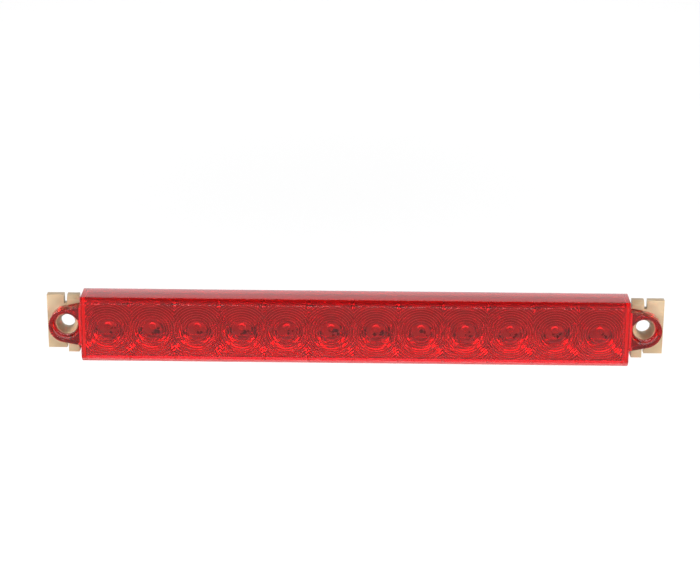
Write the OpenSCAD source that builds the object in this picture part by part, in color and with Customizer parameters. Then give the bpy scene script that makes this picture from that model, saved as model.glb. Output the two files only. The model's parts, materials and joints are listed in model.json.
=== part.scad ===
// High-level third brake light: a long transparent red lens with a screw ear at each end,
// a reflector tray, a board with a row of LEDs, a rear housing and two nylon mounting feet.
// The front faces -Y, +X runs along the lamp and +Z is up. The origin lies on the mounting
// plane (the backs of the feet), midway between the two screw holes.

/* [Lens] */
// Length of the lens body, without the ears
body_length = 245; // [242:0.5:247]
// Height of the lens body
body_height = 30.2; // [29:0.1:33]
// Distance from the mounting plane to the front of the lens
front_reach = 15.9; // [15.5:0.1:18]
// Gap between the mounting plane and the back edge of the lens
back_gap = 1.1; // [1:0.1:1.3]
// Thickness of the front wall
front_wall = 2.6; // [2:0.1:2.8]
// Thickness of the top, bottom and end walls
side_wall = 2.0; // [1.6:0.1:2.4]
// Size of the bevels along the top and bottom front edges
bevel = 2.3; // [1.5:0.1:2.5]

/* [Fresnel cells] */
// Radius of the smooth middle of each cell
disc_r = 4.4; // [4:0.1:5]
// Distance from one ring to the next
ring_pitch = 1.15; // [1:0.05:1.2]
// Number of rings that fit a cell as whole circles
ring_count = 4; // [2:1:4]
// Height of the rings above the inside of the front wall
ring_height = 0.45; // [0.3:0.05:0.6]

/* [Ears] */
// Distance between the two screw holes
hole_spacing = 260; // [259:0.5:261]
// Distance from the mounting plane to the front of the ears
ear_reach = 10.6; // [10:0.1:11]
// Thickness of the ears
ear_thickness = 7; // [6.5:0.1:7.4]
// Radius of the round end of an ear
ear_tip_r = 7.7; // [7.4:0.1:8]
// Height of an ear where it meets the lens body
ear_root_height = 18.8; // [17.5:0.1:19]
// Radius of the recess for a screw's head and washer
recess_r = 6; // [5.8:0.1:6.2]
// Depth of that recess
recess_depth = 4.4; // [3.5:0.1:4.6]
// Radius of the bore behind the recess, which holds the foot's collar
ear_bore_r = 5.2; // [5.1:0.05:5.4]

/* [Feet] */
// Radius of the screw holes
screw_hole_r = 3.2; // [2.6:0.1:3.5]
// Radius of the front end of a screw hole's countersink
countersink_r = 4.8; // [4.5:0.1:4.9]
// Width of a foot
foot_width = 14.7; // [14.3:0.1:14.9]
// Height of a foot
foot_height = 25.2; // [24:0.1:26]
// Distance from the mounting plane to the front of a foot's upper lug
upper_lug_reach = 4.6; // [4.2:0.1:5]
// Distance from the mounting plane to the front of a foot's lower lug
lower_lug_reach = 9; // [8:0.1:10]
// Size of the bevel along the upper lug's top front edge
lug_bevel = 1.7; // [1.2:0.1:1.8]
// Width of the upper lug
upper_lug_width = 5.5; // [5.2:0.1:5.6]
// Width of the lower lug
lower_lug_width = 4.8; // [4.5:0.1:5.2]
// Width of the slots between a foot's plate and its lugs
slot_width = 1.5; // [1:0.1:1.6]
// Depth of those slots
slot_depth = 4; // [3:0.1:4.5]

/* [LED row] */
// Number of LEDs, one behind each Fresnel cell
led_count = 12; // [12:1:12]
// Distance from one LED to the next
led_pitch = 20; // [19.5:0.1:20]
// Distance of the row's middle from the lamp's middle
row_shift = -0.6; // [-0.8:0.1:0.8]
// Side of an LED's square package
led_side = 7.6; // [7:0.1:7.8]
// Height of that package above the board
led_height = 2.7; // [2.4:0.1:2.7]
// Radius of the LED's dome
dome_r = 1.5; // [1.2:0.1:2]

/* [Board and tray] */
// Length of the circuit board
board_length = 232; // [230:0.5:234]
// Height of the circuit board
board_height = 20.5; // [18:0.5:21]
// Thickness of the circuit board
board_thickness = 1.6; // [1.4:0.1:1.6]
// Distance from the mounting plane to the front of the board
board_reach = 6.4; // [6.3:0.05:6.4]
// Distance from the mounting plane to the front of the reflector tray
tray_reach = 10.4; // [10.4:0.1:10.8]
// Thickness of the reflector tray
tray_wall = 1.2; // [1:0.1:1.2]
// Radius of the openings in the tray, one in front of each LED
opening_r = 3.8; // [3.4:0.1:4]
// Radius of the small locating holes between those openings
pin_hole_r = 0.6; // [0.5:0.05:0.8]

/* [Cable entry] */
// Radius of the hole for the cord through the rubber gland
cable_r = 2.5; // [2.2:0.1:2.6]

/* [Hidden] */
$fn = 48;
fine_facets = 96;
small_facets = 24;
clearance = 0.3;
close_fit = 0.1;
overlap = 0.5;
tiny = 0.05;
past = 1;

body_half = body_length / 2;
half_height = body_height / 2;
cavity_length = body_length - 2 * side_wall;
cavity_height = body_height - 2 * side_wall;
inner_face = front_reach - front_wall;
post_r = 0.6;
post_length = 1.8;
post_z = half_height - side_wall - post_r / 2;
least_cut = 0.2;
ear_x = hole_spacing / 2;
ear_back = ear_reach - ear_thickness;
recess_floor = ear_reach - recess_depth;

plate_thickness = ear_back;
collar_r = ear_bore_r - close_fit;
countersink_back = 3;
foot_gap = 1.8;
foot_inner_x = body_half + foot_gap;
foot_outer_x = foot_inner_x + foot_width;
lug_height = 8.5;

board_back = board_reach - board_thickness;
floor_thickness = 2;
floor_front = back_gap + floor_thickness;
rim_thickness = 1.4;
rim_reach = 5.3;
seal_size = 1.2;
seal_depth = 1.3;
pocket_places = [-85, -31, 31, 85];
pocket_length = 42;
pocket_height = 15;
pocket_depth = 0.7;

boss_r = 2.4;
screw_pilot_r = 0.8;
screw_shank_r = 1;
screw_head_r = 2;
screw_head_height = 1.2;
screw_length = 4.4;
screw_end = board_reach - screw_length;
pilot_spare = 0.2;
drive_depth = 0.7;
drive_length = 2.4;
drive_width = 0.5;
screw_cells = [-5, -2, 2, 5];

lead_offset = 2.54;
lead_size = 0.5;
lead_hole_r = 0.45;
lead_tail = 1.2;
opening_flare = 0.5;
pin_hole_z = 11.6;

resistor_cells = [-3, -1, 1, 3];
diode_cell = 4;
suppressor_cell = -4;
chip_length = 6.3;
chip_width = 3.2;
chip_height = 0.7;
chip_cap = 0.6;
diode_width = 2.6;
diode_length = 4.3;
suppressor_width = 3.6;
suppressor_length = 4.6;
moulded_height = 1.4;
moulded_standoff = 0.15;
tab_height = 0.8;
tab_length = 1;
tab_offset = 0.4;
tab_share = 0.55;

gland_neck_r = 4;
gland_flange_r = 5.6;
gland_flange = 0.8;
gland_lip_r = 4.9;
gland_lip = 1;

terminal_z = 7.4;
terminal_pad = 3.4;
terminal_sheet = 0.5;
terminal_tag_height = 1.5;
terminal_tag_x = 1.2;
terminal_tag_thickness = 0.8;
terminal_tag_width = 2.6;

// The places of the LEDs and of the lines between their cells
function led_x(index) = row_shift + (index - (led_count - 1) / 2) * led_pitch;
function cell_line_x(cell) = row_shift + cell * led_pitch;

// An outline drawn in X and Z, made solid from one distance in front of the mounting plane
// to another
module slab(back, front) {
    translate([0, -back, 0]) rotate([90, 0, 0]) linear_extrude(front - back) children();
}

// A round bar or hole along Y
module bar(radius, back, front) {
    slab(back, front) circle(radius);
}

// A rectangle centred on the lamp's axis
module panel(length, height) {
    square([length, height], center = true);
}

// A profile drawn in Y and Z, made solid along X and centred
module beam(length) {
    rotate([90, 0, 90]) linear_extrude(length, center = true) children();
}

// The lens body's cross-section, with its two front edges bevelled
module body_section(front, top, cut) {
    polygon([[-back_gap, top], [-front + cut, top], [-front, top - cut],
             [-front, cut - top], [-front + cut, -top], [-back_gap, -top]]);
}

// The cross-section of the hollow behind the front wall, open at the back
module cavity_section() {
    top = half_height - side_wall;
    inner_cut = max(least_cut, bevel - front_wall + side_wall * (sqrt(2) - 1));
    polygon([[0, top], [-inner_face + inner_cut, top], [-inner_face, top - inner_cut],
             [-inner_face, inner_cut - top], [-inner_face + inner_cut, -top], [0, -top]]);
}

// An ear's teardrop outline about its hole, pointing towards the lens body at +X
module ear_outline(grow) {
    tip = ear_tip_r + grow;
    root_x = ear_x - body_half + overlap;
    root_z = ear_root_height / 2 + grow;
    reach = norm([root_x, root_z]);
    touch = atan2(root_z, root_x) + acos(tip / reach);
    touch_x = tip * cos(touch);
    touch_z = tip * sin(touch);
    circle(tip, $fn = fine_facets);
    polygon([[touch_x, touch_z], [root_x, root_z], [root_x, -root_z], [touch_x, -touch_z]]);
}

// Places a shape made about the left screw hole at one end of the lamp
module at_end(side) {
    if (side < 0)
        translate([-ear_x, 0, 0]) children();
    else
        mirror([1, 0, 0]) translate([-ear_x, 0, 0]) children();
}

module ear() {
    difference() {
        slab(ear_back, ear_reach) ear_outline(0);
        bar(recess_r, recess_floor, ear_reach + past, $fn = fine_facets);
        bar(ear_bore_r, ear_back - past, recess_floor + tiny, $fn = fine_facets);
    }
}

// Short round posts in the corners between the front wall and the top and bottom walls
module corner_posts() {
    for (cell = [-led_count / 2 : led_count / 2], z = [-post_z, post_z])
        translate([cell_line_x(cell), 0, z])
            bar(post_r, inner_face - post_length, inner_face + tiny, $fn = small_facets);
}

// The ridges of one Fresnel cell on the inside of the front wall
module cell_rings() {
    for (ring = [1 : ring_count])
        slab(inner_face - ring_height, inner_face + tiny)
            difference() {
                circle(disc_r + ring * ring_pitch);
                circle(disc_r + (ring - 0.5) * ring_pitch);
            }
}

module lens() {
    color([0.72, 0.05, 0.08, 0.75]) {
        difference() {
            beam(body_length) body_section(front_reach, half_height, bevel);
            beam(cavity_length) cavity_section();
        }
        for (index = [0 : led_count - 1])
            translate([led_x(index), 0, 0]) cell_rings();
        corner_posts();
        for (side = [-1, 1])
            at_end(side) ear();
    }
}

module rear_housing() {
    floor_length = cavity_length - clearance;
    floor_height = cavity_height - clearance;
    rim_length = floor_length - 2 * seal_size;
    rim_height = floor_height - 2 * seal_size;
    color([0.9, 0.87, 0.8])
        difference() {
            union() {
                slab(back_gap, floor_front) panel(floor_length, floor_height);
                slab(floor_front, rim_reach)
                    difference() {
                        panel(rim_length, rim_height);
                        panel(rim_length - 2 * rim_thickness, rim_height - 2 * rim_thickness);
                    }
                for (cell = screw_cells)
                    translate([cell_line_x(cell), 0, 0]) bar(boss_r, floor_front, board_back);
            }
            for (cell = screw_cells)
                translate([cell_line_x(cell), 0, 0])
                    bar(screw_pilot_r, screw_end - pilot_spare, board_back + past);
            bar(gland_neck_r, back_gap - past, floor_front + past);
            for (x = pocket_places)
                translate([x, 0, 0])
                    slab(back_gap - past, back_gap + pocket_depth)
                        panel(pocket_length, pocket_height);
        }
}

module housing_seal() {
    outer_length = cavity_length - clearance;
    outer_height = cavity_height - clearance;
    color([0.85, 0.8, 0.75])
        slab(floor_front, floor_front + seal_depth)
            difference() {
                panel(outer_length, outer_height);
                panel(outer_length - 2 * seal_size, outer_height - 2 * seal_size);
            }
}

// A round opening that widens towards the front
module tray_opening() {
    cone_length = tray_wall + past;
    cone_r = opening_r + opening_flare * cone_length / tray_wall;
    bar(opening_r, tray_reach - tray_wall - past, tray_reach - tray_wall + tiny);
    translate([0, tray_wall - tray_reach, 0]) rotate([90, 0, 0])
        cylinder(cone_length, opening_r, cone_r);
}

module reflector_tray() {
    tray_length = cavity_length - 2 * clearance;
    tray_height = cavity_height - 2 * clearance;
    color([0.93, 0.9, 0.84])
        difference() {
            slab(rim_reach + close_fit, tray_reach) panel(tray_length, tray_height);
            slab(rim_reach - past, tray_reach - tray_wall)
                panel(tray_length - 2 * tray_wall, tray_height - 2 * tray_wall);
            for (index = [0 : led_count - 1])
                translate([led_x(index), 0, 0]) tray_opening();
            for (cell = [1 - led_count / 2 : led_count / 2 - 1], z = [-pin_hole_z, pin_hole_z])
                translate([cell_line_x(cell), 0, z])
                    bar(pin_hole_r, tray_reach - tray_wall - past, tray_reach + past);
        }
}

module led_leads() {
    for (x = [-lead_offset, lead_offset], z = [-lead_offset, lead_offset])
        translate([x, 0, z]) children();
}

module circuit_board() {
    color([0.9, 0.92, 0.88])
        difference() {
            slab(board_back, board_reach) panel(board_length, board_height);
            for (index = [0 : led_count - 1])
                translate([led_x(index), 0, 0])
                    led_leads() bar(lead_hole_r, board_back - past, board_reach + past,
                        $fn = small_facets);
            for (cell = screw_cells)
                translate([cell_line_x(cell), 0, 0])
                    bar(screw_shank_r + close_fit, board_back - past, board_reach + past);
        }
}

// One LED: a square package with a dome, on four leads that pass through the board
module led(number) {
    package_front = board_reach + led_height;
    color([0.75, 0.16, 0.18])
        translate([led_x(number - 1), 0, 0]) {
            slab(board_reach + tiny, package_front) panel(led_side, led_side);
            translate([0, -package_front, 0]) rotate([90, 0, 0])
                rotate_extrude()
                    intersection() {
                        circle(dome_r);
                        translate([0, -tiny]) square(dome_r + past);
                    }
            led_leads() slab(board_back - lead_tail, board_reach + 2 * tiny)
                panel(lead_size, lead_size);
        }
}

// A chip resistor behind the board, with metal end caps
module resistor(number) {
    color([0.1, 0.1, 0.1])
        translate([cell_line_x(resistor_cells[number - 1]), 0, 0]) {
            slab(board_back - chip_height, board_back - tiny)
                panel(chip_width, chip_length);
            for (z = [-1, 1])
                translate([0, 0, z * (chip_length - chip_cap) / 2])
                    slab(board_back - chip_height - tiny, board_back)
                        panel(chip_width + 2 * tiny, chip_cap);
        }
}

// A moulded two-tab component behind the board
module moulded_part(cell, width, length) {
    translate([cell_line_x(cell), 0, 0]) {
        slab(board_back - moulded_height, board_back - moulded_standoff) panel(width, length);
        for (z = [-1, 1])
            translate([0, 0, z * (length / 2 + tab_offset)])
                slab(board_back - tab_height, board_back) panel(width * tab_share, tab_length);
    }
}

module reverse_diode() {
    color([0.12, 0.12, 0.13]) moulded_part(diode_cell, diode_width, diode_length);
}

module surge_suppressor() {
    color([0.12, 0.12, 0.13]) moulded_part(suppressor_cell, suppressor_width, suppressor_length);
}

// A solder lug behind the board, for one of the cord's two wires
module terminal(side) {
    color([0.8, 0.78, 0.7])
        translate([row_shift, 0, side * terminal_z]) {
            slab(board_back - terminal_sheet, board_back) panel(terminal_pad, terminal_pad);
            translate([side * terminal_tag_x, 0, 0])
                slab(board_back - terminal_tag_height, board_back - terminal_sheet + tiny)
                    panel(terminal_tag_thickness, terminal_tag_width);
        }
}

// A slot cut in from the front of a board screw's head
module screw_drive() {
    head_front = board_reach + screw_head_height;
    slab(head_front - drive_depth, head_front + past) children();
}

// Four pan-head screws that hold the board on the housing's bosses
module board_screws() {
    color([0.7, 0.7, 0.72])
        for (cell = screw_cells)
            translate([cell_line_x(cell), 0, 0]) {
                bar(screw_pilot_r, screw_end, board_back + tiny);
                bar(screw_shank_r, board_back, board_reach + tiny);
                difference() {
                    bar(screw_head_r, board_reach, board_reach + screw_head_height);
                    screw_drive() panel(drive_length, drive_width);
                    screw_drive() panel(drive_width, drive_length);
                }
            }
}

// The rubber gland in the housing's floor, where the cord goes in
module cable_gland() {
    color([0.08, 0.08, 0.08])
        difference() {
            union() {
                bar(gland_neck_r - tiny, back_gap - tiny, floor_front + tiny);
                bar(gland_flange_r, back_gap - gland_flange, back_gap);
                bar(gland_lip_r, floor_front, floor_front + gland_lip);
            }
            bar(cable_r, -past, board_back);
        }
}

// A mounting foot: a plate behind the ear, a collar inside its bore, a bevelled lug above it
// and a longer one below, made for the left end
module foot() {
    outer = foot_outer_x - ear_x;
    inner = ear_x - foot_inner_x;
    half = foot_height / 2;
    lug_foot = half - lug_height;
    bevel_side = lug_bevel * sqrt(2);
    difference() {
        union() {
            slab(0, plate_thickness)
                translate([-outer, -half]) square([foot_width, foot_height]);
            bar(collar_r, plate_thickness - tiny, recess_floor, $fn = fine_facets);
            difference() {
                union() {
                    slab(plate_thickness - tiny, upper_lug_reach)
                        translate([inner - upper_lug_width, lug_foot])
                            square([upper_lug_width, half - lug_foot]);
                    slab(plate_thickness - tiny, lower_lug_reach)
                        translate([inner - lower_lug_width, -half])
                            square([lower_lug_width, half - lug_foot]);
                }
                slab(plate_thickness, ear_reach + past) ear_outline(clearance);
            }
        }
        bar(screw_hole_r, -past, ear_reach, $fn = fine_facets);
        translate([0, -countersink_back, 0]) rotate([90, 0, 0])
            cylinder(recess_floor - countersink_back, screw_hole_r, countersink_r, $fn = fine_facets);
        bar(countersink_r, recess_floor - tiny, ear_reach, $fn = fine_facets);
        translate([inner - upper_lug_width / 2, -upper_lug_reach, half]) rotate([45, 0, 0])
            cube([upper_lug_width + 2 * overlap, bevel_side, bevel_side], center = true);
        slab(-past, ear_reach)
            translate([inner - upper_lug_width - slot_width, half - slot_depth])
                square([slot_width, lug_height]);
        slab(-past, ear_reach)
            translate([inner - lower_lug_width - slot_width, slot_depth - half - lug_height])
                square([slot_width, lug_height]);
    }
}

module left_foot() {
    color([0.87, 0.8, 0.67]) at_end(-1) foot();
}

module right_foot() {
    color([0.87, 0.8, 0.67]) at_end(1) foot();
}

lens();
rear_housing();
housing_seal();
reflector_tray();
circuit_board();
led(1);  // led_01
led(2);  // led_02
led(3);  // led_03
led(4);  // led_04
led(5);  // led_05
led(6);  // led_06
led(7);  // led_07
led(8);  // led_08
led(9);  // led_09
led(10);  // led_10
led(11);  // led_11
led(12);  // led_12
resistor(1);  // resistor_1
resistor(2);  // resistor_2
resistor(3);  // resistor_3
resistor(4);  // resistor_4
reverse_diode();
surge_suppressor();
terminal(1);  // terminal_positive
terminal(-1);  // terminal_negative
board_screws();
cable_gland();
left_foot();
right_foot();
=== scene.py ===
"""The looks of a long red third brake light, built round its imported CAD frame."""

import json
import math
import random

import bmesh
import bpy
from mathutils import Matrix, Vector


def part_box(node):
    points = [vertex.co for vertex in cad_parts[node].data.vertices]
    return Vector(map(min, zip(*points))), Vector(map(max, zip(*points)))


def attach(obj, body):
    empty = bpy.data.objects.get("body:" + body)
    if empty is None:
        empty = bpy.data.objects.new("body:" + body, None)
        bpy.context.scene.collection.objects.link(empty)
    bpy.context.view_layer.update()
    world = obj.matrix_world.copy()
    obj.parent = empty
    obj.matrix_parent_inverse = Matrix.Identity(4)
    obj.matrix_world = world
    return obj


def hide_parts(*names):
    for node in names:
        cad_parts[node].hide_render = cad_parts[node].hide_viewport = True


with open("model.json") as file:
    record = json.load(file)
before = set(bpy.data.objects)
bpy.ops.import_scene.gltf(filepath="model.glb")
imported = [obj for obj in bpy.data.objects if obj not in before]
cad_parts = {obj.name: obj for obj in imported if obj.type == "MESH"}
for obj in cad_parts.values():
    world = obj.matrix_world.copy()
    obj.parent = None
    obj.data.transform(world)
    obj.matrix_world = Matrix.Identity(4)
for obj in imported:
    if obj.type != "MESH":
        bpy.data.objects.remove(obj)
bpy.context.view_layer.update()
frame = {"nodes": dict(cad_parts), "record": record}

MM = 0.001
BODY = "root"
LED_COUNT = 12
SHARP_ANGLE = 32
FINE_STEPS = 96

# The lens, in metres, as the CAD model has it. Distances called reach or back are measured
# forward from the mounting plane, so a point's Y is minus that distance.
lens_low, lens_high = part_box("lens")
FRONT_REACH = -lens_low.y
LENS_BACK = -lens_high.y
HALF_HEIGHT = lens_high.z
HALF_LENGTH = 122.5 * MM
FRONT_WALL = 2.6 * MM
SIDE_WALL = 2.0 * MM
BEVEL = 2.3 * MM
INNER_FACE = FRONT_REACH - FRONT_WALL
EDGE_RADIUS = 0.28 * MM

# The ears
hole_mount = next(m for m in frame["record"]["mounts"] if m["name"] == "screw_holes")
recess_mount = next(m for m in frame["record"]["mounts"] if m["name"] == "left_head_recess")
EAR_X = hole_mount["dims"]["spacing_x_mm"] / 2 * MM
EAR_TIP = lens_high.x - EAR_X
EAR_REACH = 10.6 * MM
EAR_ROOT_SINK = 0.4 * MM
AIR_GAP = 0.06 * MM
EAR_BACK = 3.6 * MM + AIR_GAP
EAR_ROOT_HALF = 9.4 * MM
RECESS_R = recess_mount["dims"]["r_mm"] * MM
RECESS_FLOOR = EAR_REACH - recess_mount["dims"]["length_mm"] * MM
EAR_BORE_R = 5.2 * MM

# The Fresnel cells, one in front of each LED
LED_BOXES = [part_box(f"led_{i + 1:02d}") for i in range(LED_COUNT)]
LED_XS = [(low.x + high.x) / 2 for low, high in LED_BOXES]
LED_HALF = (LED_BOXES[0][1].x - LED_BOXES[0][0].x) / 2
LED_DOME_R = 1.5 * MM
LED_CORNER = 1.0 * MM
LEAD_OFFSET = 2.54 * MM
LEAD_HALF = 0.25 * MM
HAIR_GAP = 0.01 * MM
LED_FRONT = -LED_BOXES[0][0].y - LED_DOME_R
LED_LEAD_END = -LED_BOXES[0][1].y
BOARD_FRONT = -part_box("circuit_board")[0].y
CELL_HALF_WIDTH = (LED_XS[1] - LED_XS[0]) / 2
CELL_HALF_HEIGHT = 12.3 * MM
DISC_R = 4.4 * MM
DISC_BULGE = 0.6 * MM
RING_PITCH = 1.15 * MM
RING_HEIGHTS = (1.3 * MM, 1.4 * MM)
RING_ZONES = 11
STEEP_ZONE = 4
RELIEF_SINK = 0.3 * MM
SPOKES = 144

# The shares of a ring's width that its steep side and its flat land take up
RING_RISE = 0.1
RING_LAND = 0.14

# The corner posts between the front wall and the top and bottom walls
POST_R = 0.6 * MM
POST_LENGTH = 1.8 * MM
POST_STEPS = 24

# How near two points of a mesh are when they are taken as one
WELD = 2e-7


# ---------------------------------------------------------------- mesh helpers

def finish_mesh(name, bm, material, smooth_angle=SHARP_ANGLE):
    """Makes a named object from a bmesh, with every edge sharper than the angle kept crisp."""
    limit = math.radians(smooth_angle)
    for edge in bm.edges:
        edge.smooth = edge.calc_face_angle(0.0) < limit
    for face in bm.faces:
        face.smooth = True
    mesh = bpy.data.meshes.new(name)
    bm.to_mesh(mesh)
    bm.free()
    made = bpy.data.objects.new(name, mesh)
    bpy.context.scene.collection.objects.link(made)
    if material is not None:
        mesh.materials.append(material)
    return made


def piece(made, slot, *nodes):
    """Rides a piece on the lamp's body, in place of CAD nodes. The slot is not used."""
    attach(made, BODY)
    if nodes:
        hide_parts(*nodes)
    return made


def prism(outline, back, front, bm=None):
    """A solid from an outline in X and Z, between two distances in front of the mounting plane."""
    bm = bm or bmesh.new()
    rings = [[bm.verts.new((x, -y, z)) for x, z in outline] for y in (back, front)]
    close_prism(bm, rings)
    return bm


def beam(profile, x_low, x_high, bm=None):
    """A solid from a profile in Y and Z, along X."""
    bm = bm or bmesh.new()
    rings = [[bm.verts.new((x, y, z)) for y, z in profile] for x in (x_low, x_high)]
    close_prism(bm, rings)
    return bm


def close_prism(bm, rings):
    """Faces between two like rings of points, and across their ends."""
    count = len(rings[0])
    faces = [bm.faces.new(rings[0]), bm.faces.new(rings[1])]
    for i in range(count):
        j = (i + 1) % count
        faces.append(bm.faces.new((rings[0][i], rings[0][j], rings[1][j], rings[1][i])))
    bmesh.ops.recalc_face_normals(bm, faces=faces)


def arc(centre_x, centre_z, radius, start, end, steps):
    """Points on a circle's arc in X and Z, angles in degrees."""
    angles = [math.radians(start + (end - start) * i / steps) for i in range(steps + 1)]
    return [(centre_x + radius * math.cos(a), centre_z + radius * math.sin(a)) for a in angles]


def circle(centre_x, centre_z, radius, steps):
    """Points all round a circle in X and Z."""
    return arc(centre_x, centre_z, radius, 0, 360 * (steps - 1) / steps, steps - 1)


def round_edges(bm, radius, segments=2):
    """Rounds every sharp edge."""
    edges = [e for e in bm.edges if e.calc_face_angle(0.0) > math.radians(SHARP_ANGLE)]
    bmesh.ops.bevel(bm, geom=edges, offset=radius, segments=segments, profile=0.5,
                    affect="EDGES", clamp_overlap=True)


def combine(bm_a, bm_b, operation):
    """The union or difference of two closed meshes, as a new bmesh."""
    first = finish_mesh("first", bm_a, None)
    second = finish_mesh("second", bm_b, None)
    modifier = first.modifiers.new("combine", "BOOLEAN")
    modifier.object = second
    modifier.operation = operation
    modifier.solver = "EXACT"
    depsgraph = bpy.context.evaluated_depsgraph_get()
    result = bmesh.new()
    result.from_mesh(first.evaluated_get(depsgraph).to_mesh())
    for used in (first, second):
        mesh = used.data
        bpy.data.objects.remove(used)
        bpy.data.meshes.remove(mesh)
    bmesh.ops.remove_doubles(result, verts=result.verts, dist=1e-7)
    bmesh.ops.dissolve_degenerate(result, edges=result.edges, dist=1e-7)
    return result


# ---------------------------------------------------------------- the lens

def ear_outline(side):
    """An ear's teardrop in X and Z: a round tip about the hole, tangent to straight flanks."""
    root = EAR_X - HALF_LENGTH + EAR_ROOT_SINK
    reach = math.hypot(root, EAR_ROOT_HALF)
    touch = math.degrees(math.atan2(EAR_ROOT_HALF, root) + math.acos(EAR_TIP / reach))
    points = arc(0, 0, EAR_TIP, touch, 360 - touch, FINE_STEPS // 2)
    points += [(root, -EAR_ROOT_HALF), (root, EAR_ROOT_HALF)]
    return [(side * (EAR_X - x), z) for x, z in points]


def tooth_height(radius):
    """How far the lens stands up from the inner face, at a distance from its cell's middle."""
    if radius <= DISC_R:
        return DISC_BULGE * (1 - (radius / DISC_R) ** 2)
    zone = int((radius - DISC_R) / RING_PITCH + 1e-6)
    share = (radius - DISC_R) / RING_PITCH - zone
    low, high = RING_HEIGHTS
    height = low + (high - low) * min(1, zone / STEEP_ZONE)
    if share < RING_RISE:
        return height * share / RING_RISE
    return height * max(0, 1 - RING_LAND - share) / (1 - RING_LAND - RING_RISE)


def cell_radii():
    """The distances from a cell's middle at which its surface has points."""
    radii = [DISC_R * i / 8 for i in range(1, 9)]
    for zone in range(RING_ZONES):
        start = DISC_R + zone * RING_PITCH
        radii += [start + RING_PITCH * share for share in (RING_RISE, 0.5, 1 - RING_LAND, 1)]
    return radii


def cell_angles():
    """Directions from a cell's middle, the same on both sides of both axes, corners included."""
    corner = math.atan2(CELL_HALF_HEIGHT, CELL_HALF_WIDTH)
    angles = {round(2 * math.pi * i / SPOKES, 9) for i in range(SPOKES)}
    for angle in (corner, math.pi - corner, math.pi + corner, 2 * math.pi - corner):
        angles.add(round(angle, 9))
    return sorted(angles)


def fresnel_relief():
    """The saw-tooth rings of all the cells as one closed solid, its base sunk in the wall."""
    bm = bmesh.new()
    radii, angles = cell_radii(), cell_angles()
    for centre_x in LED_XS:
        middle = bm.verts.new((centre_x, -INNER_FACE + tooth_height(0), 0))
        spokes = []
        for angle in angles:
            c, s = math.cos(angle), math.sin(angle)
            edge = min(CELL_HALF_WIDTH / max(abs(c), 1e-9), CELL_HALF_HEIGHT / max(abs(s), 1e-9))
            spoke = []
            for radius in radii:
                r = min(radius, edge)
                spoke.append(bm.verts.new((centre_x + r * c, -INNER_FACE + tooth_height(r), r * s)))
            spokes.append(spoke)
        for i, spoke in enumerate(spokes):
            following = spokes[(i + 1) % len(spokes)]
            bm.faces.new((middle, spoke[0], following[0]))
            for k in range(len(radii) - 1):
                bm.faces.new((spoke[k], spoke[k + 1], following[k + 1], following[k]))
    bmesh.ops.remove_doubles(bm, verts=bm.verts, dist=WELD)
    bmesh.ops.dissolve_degenerate(bm, edges=bm.edges, dist=WELD)
    rim = [e for e in bm.edges if e.is_boundary]
    skirt = bmesh.ops.extrude_edge_only(bm, edges=rim)["geom"]
    for vert in (g for g in skirt if isinstance(g, bmesh.types.BMVert)):
        vert.co.y = -INNER_FACE - RELIEF_SINK
    base = [e for e in bm.edges if e.is_boundary]
    bmesh.ops.holes_fill(bm, edges=base, sides=0)
    bmesh.ops.recalc_face_normals(bm, faces=bm.faces)
    return bm


def corner_posts():
    """Short round posts at the lines between the cells, above and below."""
    bm = bmesh.new()
    post_z = HALF_HEIGHT - SIDE_WALL - POST_R / 2
    lines = [LED_XS[0] - CELL_HALF_WIDTH + 2 * CELL_HALF_WIDTH * i for i in range(LED_COUNT + 1)]
    for x in lines:
        for z in (-post_z, post_z):
            outline = circle(x, z, POST_R, POST_STEPS)
            prism(outline, INNER_FACE - POST_LENGTH, INNER_FACE + POST_R / 2, bm)
    return bm


def lens_bmesh():
    """The whole lens: body, ears, bores, the hollow behind the front wall, and the rings."""
    top, front, back = HALF_HEIGHT, -FRONT_REACH, -LENS_BACK
    section = [(back, top), (front + BEVEL, top), (front, top - BEVEL),
               (front, BEVEL - top), (front + BEVEL, -top), (back, -top)]
    bm = beam(section, -HALF_LENGTH, HALF_LENGTH)
    for side in (-1, 1):
        bm = combine(bm, prism(ear_outline(side), EAR_BACK, EAR_REACH), "UNION")
    for side in (-1, 1):
        recess = circle(side * EAR_X, 0, RECESS_R, FINE_STEPS)
        bore = circle(side * EAR_X, 0, EAR_BORE_R, FINE_STEPS)
        bm = combine(bm, prism(recess, RECESS_FLOOR, EAR_REACH + MM), "DIFFERENCE")
        bm = combine(bm, prism(bore, EAR_BACK - MM, RECESS_FLOOR + MM), "DIFFERENCE")
    bmesh.ops.dissolve_limit(bm, angle_limit=math.radians(1), verts=bm.verts, edges=bm.edges)
    round_edges(bm, EDGE_RADIUS, segments=3)
    inner_top = top - SIDE_WALL
    inner_front = -INNER_FACE
    cut = BEVEL - FRONT_WALL + SIDE_WALL * (math.sqrt(2) - 1)
    hollow = [(0, inner_top), (inner_front + cut, inner_top), (inner_front, inner_top - cut),
              (inner_front, cut - inner_top), (inner_front + cut, -inner_top), (0, -inner_top)]
    half = HALF_LENGTH - SIDE_WALL
    bm = combine(bm, beam(hollow, -half, half), "DIFFERENCE")
    bm = combine(bm, fresnel_relief(), "UNION")
    return combine(bm, corner_posts(), "UNION")


# ---------------------------------------------------------------- parts refined from the CAD

def refined(node, material, radius, slot, segments=3):
    """A CAD part with its edges rounded, standing for its node."""
    bm = bmesh.new()
    bm.from_mesh(frame["nodes"][node].data)
    bmesh.ops.remove_doubles(bm, verts=bm.verts, dist=2e-6)
    bmesh.ops.dissolve_limit(bm, angle_limit=math.radians(1), verts=bm.verts, edges=bm.edges)
    round_edges(bm, radius, segments=segments)
    return piece(finish_mesh(node + "_moulding", bm, material), slot, node)


# ---------------------------------------------------------------- materials

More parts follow.
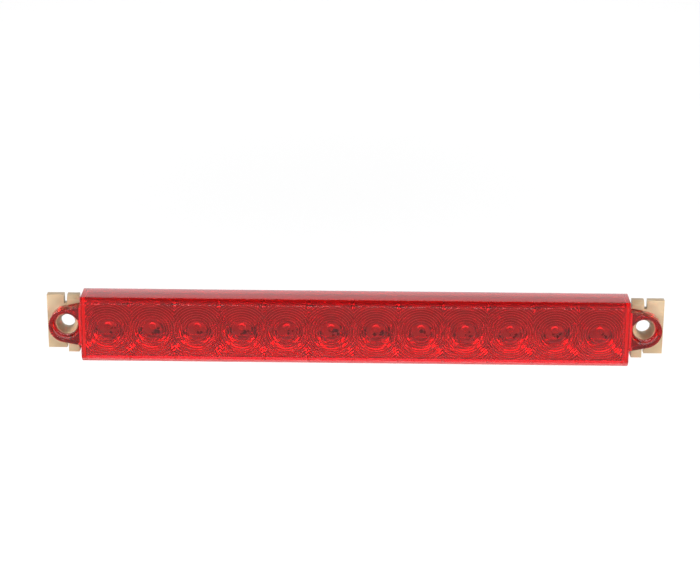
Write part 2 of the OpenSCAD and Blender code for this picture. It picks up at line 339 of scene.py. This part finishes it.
def shader(name):
    """A new material, with its node tree and its Principled shader."""
    material = bpy.data.materials.new(name)
    material.use_nodes = True
    tree = material.node_tree
    return material, tree, tree.nodes["Principled BSDF"]


def texture(tree, kind, scale, **settings):
    """A texture node placed by object coordinates, in features per metre."""
    place = tree.nodes.new("ShaderNodeTexCoord")
    node = tree.nodes.new(kind)
    node.inputs["Scale"].default_value = scale
    for name, value in settings.items():
        node.inputs[name.replace("_", " ").title()].default_value = value
    tree.links.new(place.outputs["Object"], node.inputs["Vector"])
    return node


def ramp(tree, source, stops):
    """A colour ramp over a texture's value: stops are (place, colour or grey)."""
    node = tree.nodes.new("ShaderNodeValToRGB")
    elements = node.color_ramp.elements
    while len(elements) < len(stops):
        elements.new(0.5)
    for element, (place, colour) in zip(elements, stops):
        element.position = place
        grey = isinstance(colour, (int, float))
        element.color = (colour, colour, colour, 1) if grey else (*colour, 1)
    tree.links.new(source, node.inputs["Fac"])
    return node.outputs["Color"]


def bump(tree, principled, source, distance, strength=1.0):
    """Adds fine relief to a surface."""
    node = tree.nodes.new("ShaderNodeBump")
    node.inputs["Distance"].default_value = distance
    node.inputs["Strength"].default_value = strength
    tree.links.new(source, node.inputs["Height"])
    tree.links.new(node.outputs["Normal"], principled.inputs["Normal"])


def lens_material():
    """Clear red acrylic that deepens with thickness, with faint haze and moulding ripple."""
    material, tree, principled = shader("lens_red_acrylic")
    principled.inputs["Base Color"].default_value = (1.0, 0.3, 0.42, 1)
    principled.inputs["Transmission Weight"].default_value = 1.0
    principled.inputs["IOR"].default_value = 1.49
    smears = texture(tree, "ShaderNodeTexNoise", 60, detail=6.0, roughness=0.6)
    tree.links.new(ramp(tree, smears.outputs["Fac"], [(0.35, 0.0), (0.75, 0.03)]),
                   principled.inputs["Roughness"])
    ripple = texture(tree, "ShaderNodeTexNoise", 220, detail=2.0)
    bump(tree, principled, ripple.outputs["Fac"], 0.02 * MM, 0.25)
    depth = tree.nodes.new("ShaderNodeVolumeAbsorption")
    depth.inputs["Color"].default_value = (0.974, 0.07, 0.27, 1)
    depth.inputs["Density"].default_value = 800
    tree.links.new(depth.outputs["Volume"], tree.nodes["Material Output"].inputs["Volume"])
    return material


def plastic(name, colours, roughness, grain, grain_depth, subsurface=0.0):
    """Moulded plastic: slight colour drift, roughness patches and a fine grain."""
    material, tree, principled = shader(name)
    drift = texture(tree, "ShaderNodeTexNoise", 90, detail=4.0)
    tree.links.new(ramp(tree, drift.outputs["Fac"], [(0.3, colours[0]), (0.7, colours[1])]),
                   principled.inputs["Base Color"])
    patches = texture(tree, "ShaderNodeTexNoise", 240, detail=5.0)
    tree.links.new(ramp(tree, patches.outputs["Fac"], [(0.3, roughness[0]), (0.7, roughness[1])]),
                   principled.inputs["Roughness"])
    fine = texture(tree, "ShaderNodeTexNoise", grain, detail=3.0)
    bump(tree, principled, fine.outputs["Fac"], grain_depth)
    if subsurface:
        principled.inputs["Subsurface Weight"].default_value = subsurface
        principled.inputs["Subsurface Radius"].default_value = (1.0, 0.7, 0.4)
        principled.inputs["Subsurface Scale"].default_value = 1.2 * MM
    return material


def metal(name, colour, roughness):
    """Plated metal with fine scratches."""
    material, tree, principled = shader(name)
    principled.inputs["Metallic"].default_value = 1.0
    tone = texture(tree, "ShaderNodeTexNoise", 400, detail=4.0)
    darker = tuple(c * 0.75 for c in colour)
    tree.links.new(ramp(tree, tone.outputs["Fac"], [(0.3, darker), (0.7, colour)]),
                   principled.inputs["Base Color"])
    tree.links.new(ramp(tree, tone.outputs["Fac"], [(0.3, roughness * 1.3), (0.7, roughness)]),
                   principled.inputs["Roughness"])
    bump(tree, principled, tone.outputs["Fac"], 0.01 * MM, 0.4)
    return material


def led_epoxy_material():
    """The LEDs' clear, faintly pink epoxy."""
    material, tree, principled = shader("led_clear_epoxy")
    principled.inputs["Base Color"].default_value = (0.95, 0.85, 0.86, 1)
    principled.inputs["Transmission Weight"].default_value = 1.0
    principled.inputs["IOR"].default_value = 1.53
    haze = texture(tree, "ShaderNodeTexNoise", 500, detail=3.0)
    tree.links.new(ramp(tree, haze.outputs["Fac"], [(0.3, 0.04), (0.7, 0.12)]),
                   principled.inputs["Roughness"])
    bump(tree, principled, haze.outputs["Fac"], 0.01 * MM, 0.3)
    return material


# ---------------------------------------------------------------- LEDs

def dome(bm, x, radius, base, steps=8, around=32):
    """Adds a closed round dome that faces the front, and returns its faces."""
    levels = []
    for k in range(steps):
        tilt = math.radians(90 * k / steps)
        levels.append((radius * math.cos(tilt), base + radius * math.sin(tilt)))
    rings = [[bm.verts.new((px, -y, pz)) for px, pz in circle(x, 0, r, around)]
             for r, y in levels]
    tip = bm.verts.new((x, -base - radius, 0))
    faces = [bm.faces.new(rings[0])]
    for near, far in zip(rings, rings[1:]):
        for i in range(around):
            j = (i + 1) % around
            faces.append(bm.faces.new((near[i], near[j], far[j], far[i])))
    for i in range(around):
        faces.append(bm.faces.new((rings[-1][i], rings[-1][(i + 1) % around], tip)))
    bmesh.ops.recalc_face_normals(bm, faces=faces)
    return faces


def led_package(index, body_material, dome_material):
    """A square pale package with one cut corner, and a round clear dome on its face."""
    x, half = LED_XS[index], LED_HALF
    outline = [(x - half, -half), (x + half, -half), (x + half, half),
               (x - half + LED_CORNER, half), (x - half, half - LED_CORNER)]
    bm = prism(outline, BOARD_FRONT + 0.05 * MM, LED_FRONT)
    round_edges(bm, 0.2 * MM)
    for face in dome(bm, x, LED_DOME_R, LED_FRONT + HAIR_GAP):
        face.material_index = 1
    made = finish_mesh(f"led_{index + 1:02d}_package", bm, body_material)
    made.data.materials.append(dome_material)
    return made


def blob(x, z, radius, rng, corners=11):
    """An uneven round outline in X and Z."""
    shares = [rng.uniform(0.55, 1.25) for _ in range(corners)]
    turns = [2 * math.pi * i / corners for i in range(corners)]
    return [(x + radius * r * math.cos(t), z + radius * r * math.sin(t))
            for r, t in zip(shares, turns)]


def led_lead_frame(index, lead_material, dark_material):
    """An LED's four leads through the board, and the dark dabs of paste on its face."""
    rng = random.Random(100 + index)
    x, half = LED_XS[index], LEAD_HALF
    bm = bmesh.new()
    for lead_x in (x - LEAD_OFFSET, x + LEAD_OFFSET):
        for lead_z in (-LEAD_OFFSET, LEAD_OFFSET):
            outline = [(lead_x - half, lead_z - half), (lead_x + half, lead_z - half),
                       (lead_x + half, lead_z + half), (lead_x - half, lead_z + half)]
            prism(outline, LED_LEAD_END, BOARD_FRONT + 0.04 * MM, bm)
    lead_faces = len(bm.faces)
    for _ in range(rng.randint(3, 8)):
        dab_x = x + rng.uniform(-0.7, 2.7) * MM
        dab_z = rng.uniform(-2.9, -0.6) * MM
        dab = blob(dab_x, dab_z, rng.uniform(0.3, 0.75) * MM, rng)
        prism(dab, LED_FRONT + HAIR_GAP, LED_FRONT + rng.uniform(0.06, 0.16) * MM, bm)
    bm.faces.ensure_lookup_table()
    for face in bm.faces[lead_faces:]:
        face.material_index = 1
    made = finish_mesh(f"led_{index + 1:02d}_lead_frame", bm, lead_material)
    made.data.materials.append(dark_material)
    return made


# ---------------------------------------------------------------- stage

def light(name, size, strength, position, target, spread=180):
    """A rectangular studio lamp. A narrower spread gathers the same power into a beam."""
    data = bpy.data.lights.new(name, "AREA")
    data.shape = "RECTANGLE"
    data.size, data.size_y = size
    data.energy = strength * math.pi * size[0] * size[1]
    data.spread = math.radians(spread)
    lamp = bpy.data.objects.new(name, data)
    lamp.location = position
    lamp.rotation_euler = (Vector(target) - Vector(position)).to_track_quat("-Z", "Y").to_euler()
    bpy.context.scene.collection.objects.link(lamp)


def studio_world():
    """White surroundings with a dark patch straight overhead."""
    world = bpy.data.worlds.new("studio")
    bpy.context.scene.world = world
    world.use_nodes = True
    tree = world.node_tree
    place = tree.nodes.new("ShaderNodeTexCoord")
    parts = tree.nodes.new("ShaderNodeSeparateXYZ")
    tree.links.new(place.outputs["Generated"], parts.inputs["Vector"])
    stops = [(0.0, 0.86), (0.45, 0.86), (0.7, 0.78), (0.86, 0.68), (0.94, 0.15)]
    tone = ramp(tree, parts.outputs["Z"], stops)
    tree.links.new(tone, tree.nodes["Background"].inputs["Color"])
    tree.nodes["Background"].inputs["Strength"].default_value = 1.0


def floor():
    """A wide pale floor under the lamp."""
    bm = bmesh.new()
    bmesh.ops.create_grid(bm, x_segments=4, y_segments=4, size=8)
    material, tree, principled = shader("pale_floor")
    principled.inputs["Base Color"].default_value = (0.93, 0.93, 0.93, 1)
    principled.inputs["Roughness"].default_value = 0.9
    principled.inputs["Specular IOR Level"].default_value = 0.1
    made = finish_mesh("floor", bm, material)
    made.location.z = -0.16


def camera():
    """The camera: a long lens, a little above the lamp and square to it."""
    azimuth, elevation, roll = (math.radians(a) for a in (0.571, 19.056, 0.405))
    distance = 0.9232
    target = Vector((-0.00246, 0, 0.01648))
    back = Vector((math.sin(azimuth) * math.cos(elevation),
                   -math.cos(azimuth) * math.cos(elevation), math.sin(elevation)))
    level = Vector((math.cos(azimuth), math.sin(azimuth), 0))
    upright = back.cross(level)
    right = level * math.cos(roll) + upright * math.sin(roll)
    up = upright * math.cos(roll) - level * math.sin(roll)
    data = bpy.data.cameras.new("camera")
    data.sensor_width = 36
    data.lens = 105.34
    data.clip_start, data.clip_end = 0.01, 50
    made = bpy.data.objects.new("camera", data)
    made.matrix_world = Matrix.Translation(target + back * distance) @ Matrix(
        (right, up, back)).transposed().to_4x4()
    bpy.context.scene.collection.objects.link(made)
    bpy.context.scene.camera = made


# ---------------------------------------------------------------- build

camera()
studio_world()
floor()
light("key_low", (5.0, 0.5), 6, (0, -4, 0.12), (0, 0, 0.05))
light("key_left", (0.4, 0.35), 1.7, (-1.3, -1.1, 0.5), (-0.05, 0, 0.02), spread=24)
light("key_right", (0.4, 0.35), 1.9, (1.4, -1.1, 0.45), (0.05, 0, 0.02), spread=24)
light("softbox_behind", (2.6, 1.8), 0.55, (0, 1.35, 1.3), (0, 1.25, -0.16), spread=110)
bpy.context.scene.view_settings.view_transform = "Standard"
bpy.context.scene.cycles.max_bounces = 24
bpy.context.scene.cycles.glossy_bounces = 16
bpy.context.scene.cycles.transmission_bounces = 24

lens_red = lens_material()
nylon = plastic("natural_nylon", ((0.33, 0.235, 0.135), (0.40, 0.295, 0.18)), (0.38, 0.55),
                1500, 0.01 * MM, subsurface=0.25)
shell = plastic("housing_plastic", ((0.80, 0.74, 0.62), (0.86, 0.80, 0.68)), (0.35, 0.5),
                1800, 0.01 * MM)
tray = plastic("tray_plastic", ((0.42, 0.36, 0.33), (0.48, 0.42, 0.38)), (0.3, 0.45),
               1800, 0.006 * MM)
rubber = plastic("black_rubber", ((0.018, 0.018, 0.018), (0.035, 0.034, 0.033)), (0.6, 0.8),
                 2500, 0.015 * MM)
silicone = plastic("natural_silicone", ((0.78, 0.7, 0.6), (0.84, 0.77, 0.68)), (0.5, 0.7),
                   2500, 0.01 * MM)
mask = plastic("board_mask", ((0.74, 0.76, 0.72), (0.8, 0.82, 0.78)), (0.3, 0.4),
               900, 0.004 * MM)
chip_black = plastic("chip_black", ((0.02, 0.02, 0.02), (0.04, 0.04, 0.04)), (0.4, 0.6),
                     3000, 0.005 * MM)
led_body = plastic("led_body", ((0.38, 0.34, 0.32), (0.46, 0.41, 0.38)), (0.25, 0.4),
                   1500, 0.004 * MM)
dark_paste = plastic("dark_paste", ((0.012, 0.01, 0.012), (0.03, 0.026, 0.03)), (0.4, 0.6),
                     1500, 0.004 * MM)
tin = metal("tinned_metal", (0.72, 0.7, 0.64), 0.3)
zinc = metal("zinc_plate", (0.62, 0.62, 0.64), 0.28)
epoxy = led_epoxy_material()

piece(finish_mesh("lens_moulding", lens_bmesh(), lens_red, 24), "lens_acrylic", "lens")
refined("left_foot", nylon, 0.35 * MM, "foot_nylon")
refined("right_foot", nylon, 0.35 * MM, "foot_nylon")
refined("rear_housing", shell, 0.2 * MM, "housing_plastic")
refined("reflector_tray", tray, 0.15 * MM, "tray_plastic")
refined("cable_gland", rubber, 0.25 * MM, "gland_rubber")
for i in range(LED_COUNT):
    piece(led_package(i, led_body, epoxy), "led_epoxy", f"led_{i + 1:02d}")
    piece(led_lead_frame(i, tin, dark_paste), "tinned_brass")

finishes = {"housing_seal": silicone, "circuit_board": mask, "reverse_diode": chip_black,
            "surge_suppressor": chip_black, "board_screws": zinc, "terminal_positive": tin,
            "terminal_negative": tin}
finishes.update({f"resistor_{i + 1}": chip_black for i in range(4)})
for node, material in finishes.items():
    mesh = frame["nodes"][node].data
    mesh.materials.clear()
    mesh.materials.append(material)
